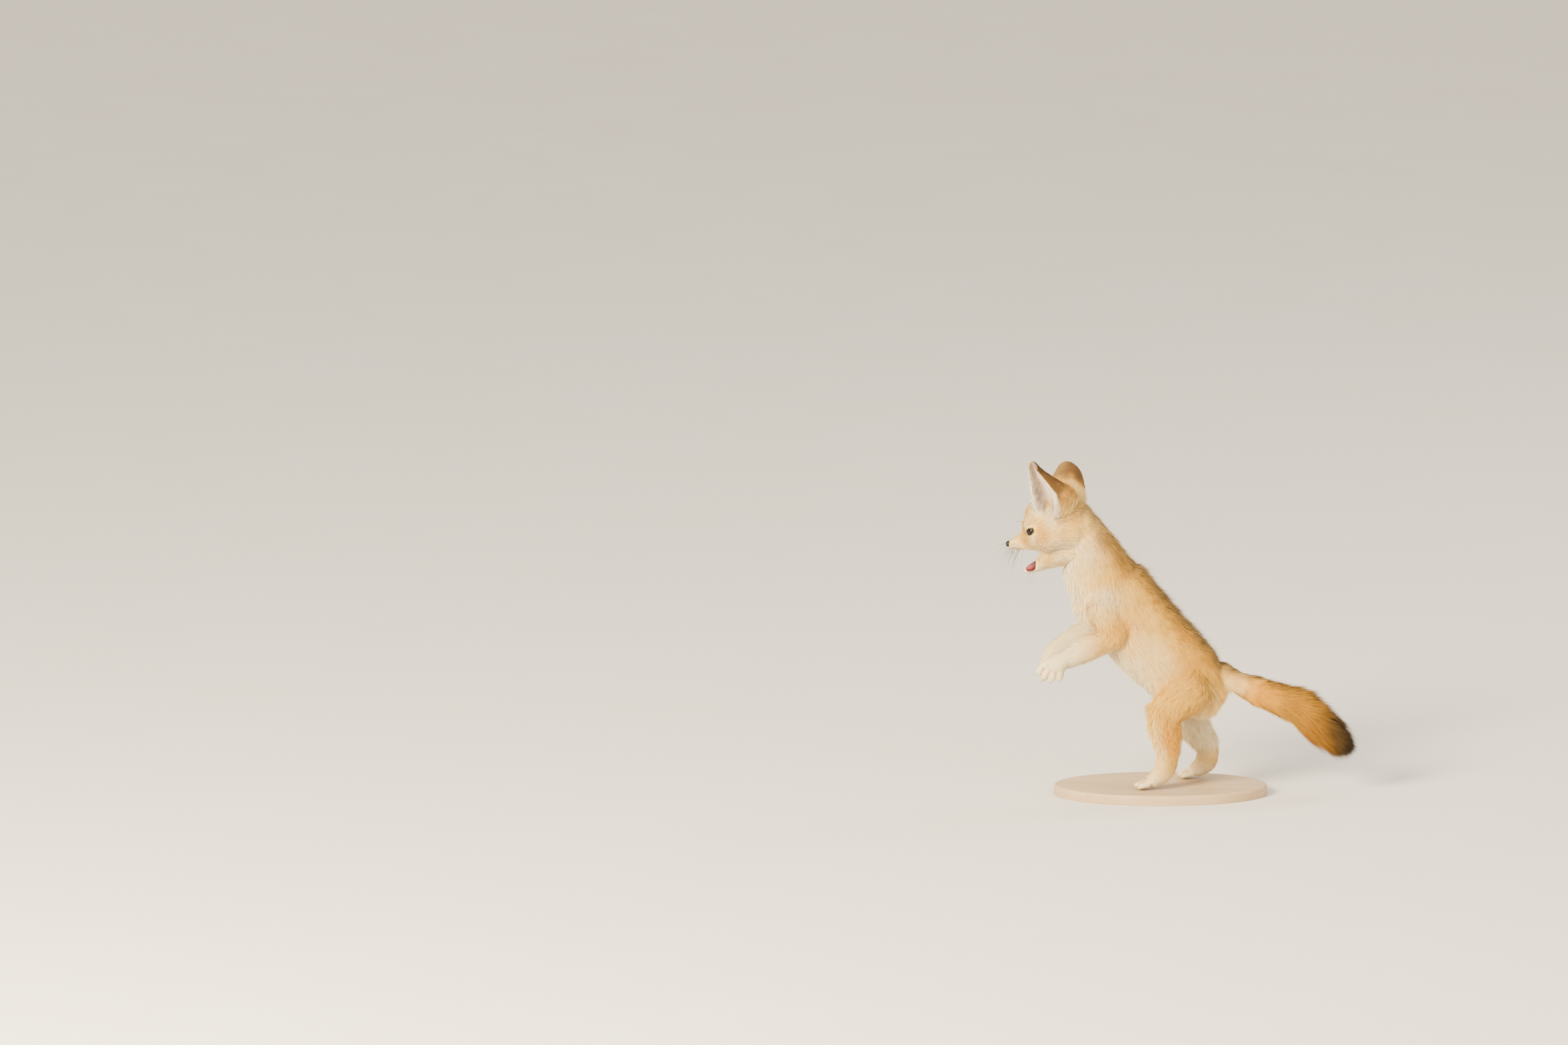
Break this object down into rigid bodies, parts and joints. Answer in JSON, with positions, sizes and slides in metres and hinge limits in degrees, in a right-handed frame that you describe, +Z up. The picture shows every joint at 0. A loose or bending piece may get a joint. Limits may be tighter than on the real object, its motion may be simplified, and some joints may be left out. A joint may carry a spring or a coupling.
{
  "type": "fennec fox kit",
  "caption": "Life-size still model of a young fennec fox rearing on its hind legs with its mouth open, on a plain oval base.",
  "frame": {"origin": "centre of the flat underside of the base", "axes": "+Z up, the kit faces -Y and its left side is +X"},
  "size_m": [0.1334, 0.3489, 0.3435],
  "materials": {
    "coat": "dense short fur, golden above and cream below",
    "nose": "black, finely grained, slightly moist",
    "tongue": "moist pink",
    "eyes": "very dark brown, wet gloss",
    "claws": "horn",
    "base": "pale oiled wood, rounded edge"
  },
  "bodies": {
    "root": {"torso": "coat", "neck": "coat", "head": "coat", "jaw": "coat", "nose": "nose", "tongue": "tongue", "ear_left": "coat", "eye_left": "eyes", "upper_arm_left": "coat", "forearm_left": "coat", "forepaw_left": "coat", "foreclaw_left_1": "claws", "foreclaw_left_2": "claws", "foreclaw_left_3": "claws", "foreclaw_left_4": "claws", "thigh_left": "coat", "shank_left": "coat", "hindfoot_left": "coat", "hindclaw_left_1": "claws", "hindclaw_left_2": "claws", "hindclaw_left_3": "claws", "hindclaw_left_4": "claws", "ear_right": "coat", "eye_right": "eyes", "upper_arm_right": "coat", "forearm_right": "coat", "forepaw_right": "coat", "foreclaw_right_1": "claws", "foreclaw_right_2": "claws", "foreclaw_right_3": "claws", "foreclaw_right_4": "claws", "thigh_right": "coat", "shank_right": "coat", "hindfoot_right": "coat", "hindclaw_right_1": "claws", "hindclaw_right_2": "claws", "hindclaw_right_3": "claws", "hindclaw_right_4": "claws", "tail_root": "coat", "tail_brush": "coat", "tail_tip": "coat", "stand_base": "base"}
  },
  "joints": []
}
